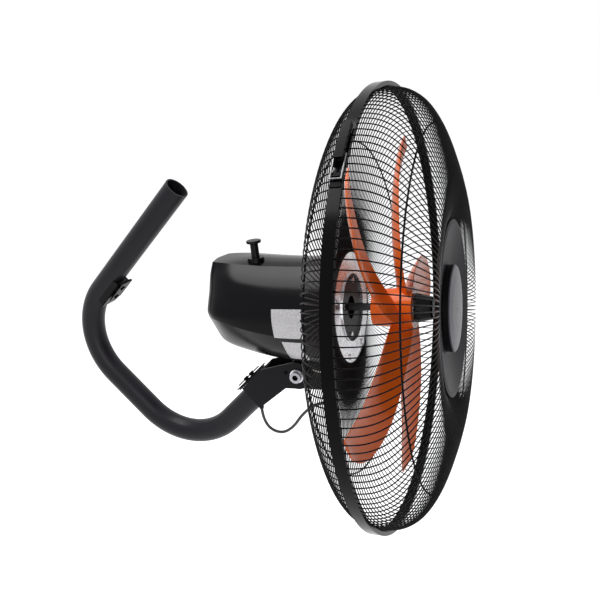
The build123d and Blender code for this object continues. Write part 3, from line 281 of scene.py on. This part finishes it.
def radial_wire(line, radius, sides):
    """Tube along an (r, y) line in the plane x = 0, as (x, y, z) points in mm, and its faces."""
    vertices = []
    for k, (r, y) in enumerate(line):
        r0, y0 = line[max(k - 1, 0)]
        r1, y1 = line[min(k + 1, len(line) - 1)]
        length = math.hypot(r1 - r0, y1 - y0)
        nr, ny = -(y1 - y0) / length, (r1 - r0) / length
        for j in range(sides):
            a = 2 * math.pi * j / sides
            out, across = radius * math.cos(a), radius * math.sin(a)
            vertices.append((across, y + ny * out, r + nr * out))
    faces = []
    for k in range(len(line) - 1):
        for j in range(sides):
            a, b = k * sides + j, k * sides + (j + 1) % sides
            faces.append((a, b, b + sides, a + sides))
    last = (len(line) - 1) * sides
    faces.append(tuple(range(sides))[::-1])
    faces.append(tuple(last + j for j in range(sides)))
    return vertices, faces


def turned(profile, steps):
    """Closed (r, y) profile turned once about the fan axis, from the top towards +X."""
    vertices, faces = [], []
    count = len(profile)
    for k in range(steps):
        a = math.radians(360.0 * k / steps)
        vertices += [(r * math.sin(a), y, r * math.cos(a)) for r, y in profile]
        n = (k + 1) % steps
        for j in range(count):
            i = (j + 1) % count
            faces.append((k * count + j, k * count + i, n * count + i, n * count + j))
    return vertices, faces


def circle_profile(r, y, radius, sides=8):
    turns = [2 * math.pi * k / sides for k in range(sides)]
    return [(r + radius * math.cos(a), y + radius * math.sin(a)) for a in turns]


def gather(lumps):
    """One list of vertices, moved to the frame, and one of faces from several in mm."""
    vertices, faces = [], []
    for points, polygons in lumps:
        base = len(vertices)
        vertices += [at(*p) for p in points]
        faces += [tuple(base + i for i in polygon) for polygon in polygons]
    return vertices, faces


def outward(piece):
    """Turn every face of a closed piece outwards."""
    mesh = bmesh.new()
    mesh.from_mesh(piece.data)
    bmesh.ops.recalc_face_normals(mesh, faces=mesh.faces)
    mesh.to_mesh(piece.data)
    mesh.free()


# ------------------------------------------------------------------ guards
WIRES = 170
WIRE_R = 0.68
WIRE_SIDES = 6
WIRE_STEPS = 3
RING_STEPS = 240
# half outlines of the guards as (r, depth from the band's middle), from the hub to the rim
FRONT_LINE = [(96.5, 60.8), (104, 63.3), (120, 68.6), (145, 70.5), (165, 66.5), (185, 60.5), (205, 53.5),
              (222, 45.5), (236, 35.5), (244.8, 23), (248.4, 10), (248.8, 2.5)]
REAR_LINE = [(67.4, 56.1), (104, 55.5), (123, 54.8), (142, 53.4), (161, 51), (180, 48), (199, 43.8),
             (218, 37.0), (235, 27.5), (244.5, 18), (248.4, 8.5), (248.8, 2.5)]
RIM = [(253.7, 0.8), (253.3, 0.4), (249.8, 0.4), (249.4, 0.8), (249.4, 4.3), (249.8, 4.7), (253.3, 4.7),
       (253.7, 4.3)]
# the hub's ring and the stiffening ring, as (r, depth, radius of the ring's wire)
FRONT_RINGS = [(98.0, 62.0, 1.4), (207.0, 50.9, 1.0)]
REAR_RINGS = [(67.6, 57.6, 1.3), (195.0, 43.4, 1.0)]


def guard(name, line, side, rings, node):
    """Wires, rim and rings of one guard, where side is -1 at the front and 1 at the rear."""
    fine = smooth_line(line, WIRE_STEPS)
    points, polygons = radial_wire([(r, side * y) for r, y in fine], WIRE_R, WIRE_SIDES)
    lumps = []
    for k in range(WIRES):
        a = 2 * math.pi * k / WIRES
        s, c = math.sin(a), math.cos(a)
        lumps.append(([(x * c + z * s, y, -x * s + z * c) for x, y, z in points], polygons))
    lumps.append(turned([(r, side * y) for r, y in RIM], RING_STEPS))
    for r, y, thick in rings:
        lumps.append(turned(circle_profile(r, side * y, thick), RING_STEPS))
    piece = new_piece(name, *gather(lumps), "wire_black", "head")
    outward(piece)
    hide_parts(node)


guard("front_grille", FRONT_LINE, -1, FRONT_RINGS, "front_guard")
guard("rear_grille", REAR_LINE, 1, REAR_RINGS, "rear_guard")

# ------------------------------------------------------------------ motor housing
HOUSING_STATIONS = [
    # y, half width and height of the top crease, half width and height of the widest line, bulge
    # between them, half width and height of the lower crease, (x, z) points from there to the
    # underside, height of the underside
    (62.1, (25.0, 60.7), (68.9, -3.5), (0.46, 0.71, 0.87, 0.97), (67.4, -18.0),
     [(55, -45), (38, -61), (20, -69.4)], -72.4),
    (100.0, (25.0, 58.8), (68.0, 0.0), (0.46, 0.70, 0.86, 0.96), (66.8, -17.5),
     [(53, -43), (36, -59.5), (19, -67.5)], -70.5),
    (140.0, (26.5, 60.0), (67.5, 3.0), (0.45, 0.69, 0.85, 0.96), (66.2, -13.0),
     [(50, -39.5), (34, -55.5), (18, -63.5)], -67.0),
    (170.0, (27.5, 62.0), (66.8, 5.0), (0.44, 0.67, 0.83, 0.95), (65.6, -7.5),
     [(47.5, -34.5), (32, -51), (17, -59.5)], -62.5),
    (195.0, (26.8, 64.0), (65.0, 8.0), (0.42, 0.64, 0.80, 0.93), (63.6, -1.0),
     [(44, -29), (30, -45.5), (16, -54)], -57.5),
    (213.0, (24.0, 65.0), (61.0, 10.0), (0.37, 0.58, 0.74, 0.90), (59.5, 3.0),
     [(40, -25), (27, -41.5), (14, -50)], -53.0),
    (225.0, (20.5, 65.2), (52.0, 11.0), (0.31, 0.50, 0.66, 0.85), (50.5, 3.0),
     [(33, -24), (22.5, -39), (11, -46.5)], -49.0),
    (229.5, (16.0, 63.8), (46.0, 10.5), (0.27, 0.45, 0.60, 0.81), (44.5, 3.0),
     [(29.5, -22.5), (20, -36), (10, -43.5)], -46.0),
    (232.0, (9.0, 60.5), (37.0, 9.5), (0.24, 0.41, 0.56, 0.78), (35.5, 3.0),
     [(23, -18), (15.5, -30), (8, -37)], -39.5),
]
HOUSING_FRONT = HOUSING_STATIONS[0][0]
HOUSING_REAR = HOUSING_STATIONS[-1][0]
HOUSING_STEPS = 4
CROWN = 3.2
CROWN_TOP = 65.4
WALL = 2.5


def half_section(top, wide, bulge, crease, low, bottom, inset):
    """(x, z) points of half the housing's section, from the top's middle to the underside's."""
    crown = min(CROWN, CROWN_TOP - top[1])
    roof = [(0.0, top[1] + crown), (top[0] / 2, top[1] + 0.75 * crown), top]
    side = [top]
    for k, share in enumerate(bulge, start=1):
        drop = k / (len(bulge) + 1)
        side.append((top[0] + (wide[0] - top[0]) * share, top[1] + (wide[1] - top[1]) * drop))
    side += [wide, crease]
    belly = [crease, *low, (0.0, bottom)]
    points = smooth_line(roof, HOUSING_STEPS)[:-1] + smooth_line(side, HOUSING_STEPS)[:-1]
    points += smooth_line(belly, HOUSING_STEPS)
    middle = (top[1] + bottom) / 2
    moved = []
    for x, z in points:
        reach = math.hypot(x, z - middle)
        moved.append((x * (1 - inset / reach), middle + (z - middle) * (1 - inset / reach)))
    return moved


def housing_rows(inset, start, end):
    """Rows of (x, y, z) points over half the housing, from start to end along y."""
    stations = [[(x, start if k == 0 else min(y, end), z) for x, z in half_section(*rest, inset)]
                for k, (y, *rest) in enumerate(HOUSING_STATIONS)]
    columns = [smooth_line(list(column), HOUSING_STEPS) for column in zip(*stations)]
    return list(zip(*columns))


def closed_form(name, rows):
    """Object bounded by the rows, their mirror and a cap at each end."""
    loops = [list(row) + [(-x, y, z) for x, y, z in reversed(row[1:-1])] for row in rows]
    count = len(loops[0])
    vertices = [at(*p) for loop in loops for p in loop]
    faces = [tuple(range(count)), tuple(range(len(vertices) - count, len(vertices)))[::-1]]
    for k in range(len(loops) - 1):
        for j in range(count):
            i = (j + 1) % count
            faces.append((k * count + j, k * count + i, (k + 1) * count + i, (k + 1) * count + j))
    piece = new_piece(name, vertices, faces, "housing_plastic", None)
    outward(piece)
    return piece


def rod(x, y, z0, z1, radius, sides=48):
    """Upright cylinder as a closed object."""
    turns = [2 * math.pi * k / sides for k in range(sides)]
    rows = [[at(x + radius * math.cos(a), y + radius * math.sin(a), z) for a in turns] for z in (z0, z1)]
    faces = [tuple(range(sides))[::-1], tuple(range(sides, 2 * sides))]
    faces += [(k, (k + 1) % sides, sides + (k + 1) % sides, sides + k) for k in range(sides)]
    piece = new_piece("cutter", rows[0] + rows[1], faces, "housing_plastic", None)
    outward(piece)
    return piece


def brick(x0, x1, y0, y1, z0, z1):
    """Box as a closed object."""
    corners = [at(x, y, z) for z in (z0, z1) for x, y in ((x0, y0), (x1, y0), (x1, y1), (x0, y1))]
    faces = [(0, 3, 2, 1), (4, 5, 6, 7), (0, 1, 5, 4), (1, 2, 6, 5), (2, 3, 7, 6), (3, 0, 4, 7)]
    return new_piece("cutter", corners, faces, "housing_plastic", None)


def combine(piece, tool, operation):
    """Boolean with a tool that is used up."""
    step = piece.modifiers.new("combine", "BOOLEAN")
    step.operation = operation
    step.solver = "EXACT"
    step.object = tool
    result = evaluated_mesh(piece)
    piece.modifiers.remove(step)
    piece.data = result
    bpy.data.objects.remove(tool)


# the knob's boss on the roof and the bore through it
KNOB_AT = (-12.0, 170.4)
BOSS_R = 10.5
BOSS_FOOT = 58.5
BOSS_TOP = 66.8
BORE_R = 7.9
BORE_FOOT = 40.0
# the hole for the swivel in the underside, open towards the front
SWIVEL_Y = 94.0
SWIVEL_R = 24.5
MOUTH_HALF = 25.0
CUT_LOW = -90.0
CUT_HIGH = -50.0
# the cutters reach past what they cut: above the boss, and ahead of the open front
PAST_BOSS = 3.0
INNER_FRONT = 55.0
MOUTH_FRONT = 40.0
# an edge stays sharp where its faces turn by more than this, in degrees
SHARP_FROM = 13


def housing():
    """Shell with an open front, whose creases stay sharp."""
    shell = closed_form("housing_shell", housing_rows(0.0, HOUSING_FRONT, HOUSING_REAR))
    combine(shell, rod(*KNOB_AT, BOSS_FOOT, BOSS_TOP, BOSS_R), "UNION")
    inside = closed_form("cutter", housing_rows(WALL, INNER_FRONT, HOUSING_REAR - WALL))
    combine(shell, inside, "DIFFERENCE")
    combine(shell, rod(*KNOB_AT, BORE_FOOT, BOSS_TOP + PAST_BOSS, BORE_R), "DIFFERENCE")
    combine(shell, rod(0.0, SWIVEL_Y, CUT_LOW, CUT_HIGH, SWIVEL_R), "DIFFERENCE")
    combine(shell, brick(-MOUTH_HALF, MOUTH_HALF, MOUTH_FRONT, SWIVEL_Y, CUT_LOW, CUT_HIGH), "DIFFERENCE")
    shell.data.polygons.foreach_set("use_smooth", [True] * len(shell.data.polygons))
    shell.data.set_sharp_from_angle(angle=math.radians(SHARP_FROM))
    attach(shell, "head")
    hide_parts("motor_housing")


housing()

# ------------------------------------------------------------------ rating labels
LABEL_T = 0.35
LABEL_SINK = 0.1
LABEL_STEPS = 14
# the two labels on the left side, as y from and to, z from and to
LABELS = [(97.0, 134.0, -16.0, 19.0), (100.0, 127.0, -52.0, -22.0)]


def side_x(rows, y, z):
    """Half width of the housing at a depth and a height, off the rows."""
    found = []
    for row in rows:
        side = [(p[2], p[0]) for p in row]
        for (z0, x0), (z1, x1) in zip(side, side[1:]):
            if z1 <= z <= z0 and z0 > z1:
                found.append((row[0][1], x0 + (x1 - x0) * (z0 - z) / (z0 - z1)))
    for (y0, x0), (y1, x1) in zip(found, found[1:]):
        if y0 <= y <= y1:
            return x0 + (x1 - x0) * (y - y0) / (y1 - y0)


def label_patch(rows, y0, y1, z0, z1):
    """Thin plate that follows the housing's left side, as points in mm and faces."""
    steps = LABEL_STEPS
    points = []
    for out in (-LABEL_SINK, LABEL_T):
        for i in range(steps + 1):
            for j in range(steps + 1):
                y, z = y0 + (y1 - y0) * i / steps, z0 + (z1 - z0) * j / steps
                points.append((-side_x(rows, y, z) - out, y, z))
    row = steps + 1
    under = row * row
    faces = []
    for i in range(steps):
        for j in range(steps):
            a = i * row + j
            faces.append((under + a, under + a + 1, under + a + row + 1, under + a + row))
            faces.append((a, a + row, a + row + 1, a + 1))
    rim = list(range(steps)) + [i * row + steps for i in range(steps)]
    rim += [steps * row + steps - j for j in range(steps)] + [(steps - i) * row for i in range(steps)]
    faces += [(a, b, under + b, under + a) for a, b in zip(rim, rim[1:] + rim[:1])]
    return points, faces


def labels():
    rows = housing_rows(0.0, HOUSING_FRONT, HOUSING_REAR)
    lumps = [label_patch(rows, *place) for place in LABELS]
    piece = new_piece("label_plates", *gather(lumps), "label_silver", "head", smooth=False)
    outward(piece)
    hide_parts("rating_labels")


labels()

# ------------------------------------------------------------------ motor lead
LEAD_R = 2.0
# (y, z) points from the arm's grommet to the one under the swivel
LEAD_ROUTE = [(198.58, -147.0), (198.58, -161.0), (190, -177.5), (172, -182), (155, -171), (140, -151),
              (122, -136), (104.5, -131), (94, -121), (94, -108)]


def lead_mesh(name, bevel):
    """The route's smooth line, or a tube along it where bevel is a radius in metres."""
    curve = bpy.data.curves.new(name, "CURVE")
    curve.dimensions = "3D"
    curve.bevel_depth = bevel
    curve.bevel_resolution = 4
    curve.resolution_u = 14
    curve.use_fill_caps = True
    spline = curve.splines.new("NURBS")
    spline.points.add(len(LEAD_ROUTE) - 1)
    for point, (y, z) in zip(spline.points, LEAD_ROUTE):
        point.co = (*at(0, y, z), 1.0)
    spline.order_u = 3
    spline.use_endpoint_u = True
    holder = placed(name, curve)
    mesh = evaluated_mesh(holder)
    bpy.data.objects.remove(holder)
    return mesh


lead_path = [tuple(v.co) for v in lead_mesh("lead_line", 0.0).vertices]
lead = placed("fan_lead", lead_mesh("lead_tube", LEAD_R * MM))
dress(lead, "lead_jacket")
lead.data.polygons.foreach_set("use_smooth", [True] * len(lead.data.polygons))
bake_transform(lead)
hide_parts("motor_lead")

# ------------------------------------------------------------------ camera
# place in metres, and the directions of the picture's top and of the camera's back
CAMERA_AT = Vector((-0.7256, -0.4561, 0.0986))
CAMERA_UP = Vector((0.31984, 0.00542, 0.94746))
CAMERA_BACK = Vector((-0.87874, -0.37223, 0.29877))
FOCAL_PX = 664.25
IMAGE_PX = 600
SENSOR = 36.0


def camera():
    data = bpy.data.cameras.new("camera")
    data.sensor_width = SENSOR
    data.lens = FOCAL_PX / IMAGE_PX * SENSOR
    data.clip_start = 0.02
    eye = placed("camera", data)
    turn = Matrix((CAMERA_UP.cross(CAMERA_BACK), CAMERA_UP, CAMERA_BACK)).transposed()
    eye.matrix_world = Matrix.Translation(CAMERA_AT) @ turn.to_4x4()
    bpy.context.scene.camera = eye


camera()

# ------------------------------------------------------------------ stage and light
# places and sizes here are in metres
FLOOR_Z = -0.62
FLOOR_HALF = 12.0
FLOOR_COLOUR = (0.86, 0.86, 0.86, 1)
FLOOR_ROUGH = 0.9
FLOOR_GLOW = 0.79
AMBIENT_COLOUR = (0.93, 0.95, 1.0, 1)
AMBIENT = 0.26
WHITE = (1, 1, 1, 1)
LAMPS = [
    # name, place, aim, width, height, watts
    ("key", (-0.15, 0.30, 1.05), (-0.15, -0.15, -0.15), 1.2, 0.5, 17.0),
    ("side", (-1.7, -0.9, 0.2), (0.0, -0.2, -0.15), 0.7, 1.6, 10.0),
]


def seen_directly(tree):
    """1 for what the camera, a mirror or glass sees, 0 for light that falls on the object."""
    path = tree.nodes.new("ShaderNodeLightPath")
    value = path.outputs["Is Camera Ray"]
    for ray in ("Is Glossy Ray", "Is Transmission Ray"):
        either = tree.nodes.new("ShaderNodeMath")
        either.operation = "MAXIMUM"
        link(tree, value, either.inputs[0])
        link(tree, path.outputs[ray], either.inputs[1])
        value = either.outputs["Value"]
    return value


def pale_floor():
    """Pale surface that takes a shadow and looks white where it has none."""
    made = bpy.data.materials.new("pale_floor")
    made.use_nodes = True
    tree = made.node_tree
    surface = tree.nodes["Principled BSDF"]
    surface.inputs["Base Color"].default_value = FLOOR_COLOUR
    surface.inputs["Roughness"].default_value = FLOOR_ROUGH
    surface.inputs["Emission Color"].default_value = WHITE
    glow = tree.nodes.new("ShaderNodeMath")
    glow.operation = "MULTIPLY"
    glow.inputs[1].default_value = FLOOR_GLOW
    link(tree, seen_directly(tree), glow.inputs[0])
    link(tree, glow.outputs["Value"], surface.inputs["Emission Strength"])
    return made


def floor():
    mesh = bpy.data.meshes.new("floor")
    corners = [(x * FLOOR_HALF, y * FLOOR_HALF, FLOOR_Z) for x, y in ((-1, -1), (1, -1), (1, 1), (-1, 1))]
    mesh.from_pydata(corners, [], [(0, 1, 2, 3)])
    mesh.materials.append(pale_floor())
    placed("floor", mesh)


def studio():
    """World that is white to look at and lights the object faintly."""
    world = bpy.data.worlds.new("studio")
    bpy.context.scene.world = world
    world.use_nodes = True
    tree = world.node_tree
    ambient = tree.nodes["Background"]
    ambient.inputs["Color"].default_value = AMBIENT_COLOUR
    ambient.inputs["Strength"].default_value = AMBIENT
    white = tree.nodes.new("ShaderNodeBackground")
    white.inputs["Color"].default_value = WHITE
    white.inputs["Strength"].default_value = 1.0
    choose = tree.nodes.new("ShaderNodeMixShader")
    link(tree, seen_directly(tree), choose.inputs["Fac"])
    link(tree, ambient.outputs["Background"], choose.inputs[1])
    link(tree, white.outputs["Background"], choose.inputs[2])
    link(tree, choose.outputs["Shader"], tree.nodes["World Output"].inputs["Surface"])


def lamp(name, place, aim, width, height, watts):
    """Rectangular area light at its place, turned to face its aim."""
    light = bpy.data.lights.new(name, "AREA")
    light.shape = "RECTANGLE"
    light.size, light.size_y = width, height
    light.energy = watts
    holder = placed(name, light)
    holder.location = place
    holder.rotation_euler = (Vector(aim) - Vector(place)).to_track_quat("-Z", "Y").to_euler()


floor()
studio()
for values in LAMPS:
    lamp(*values)

bpy.context.scene.view_settings.view_transform = "Standard"
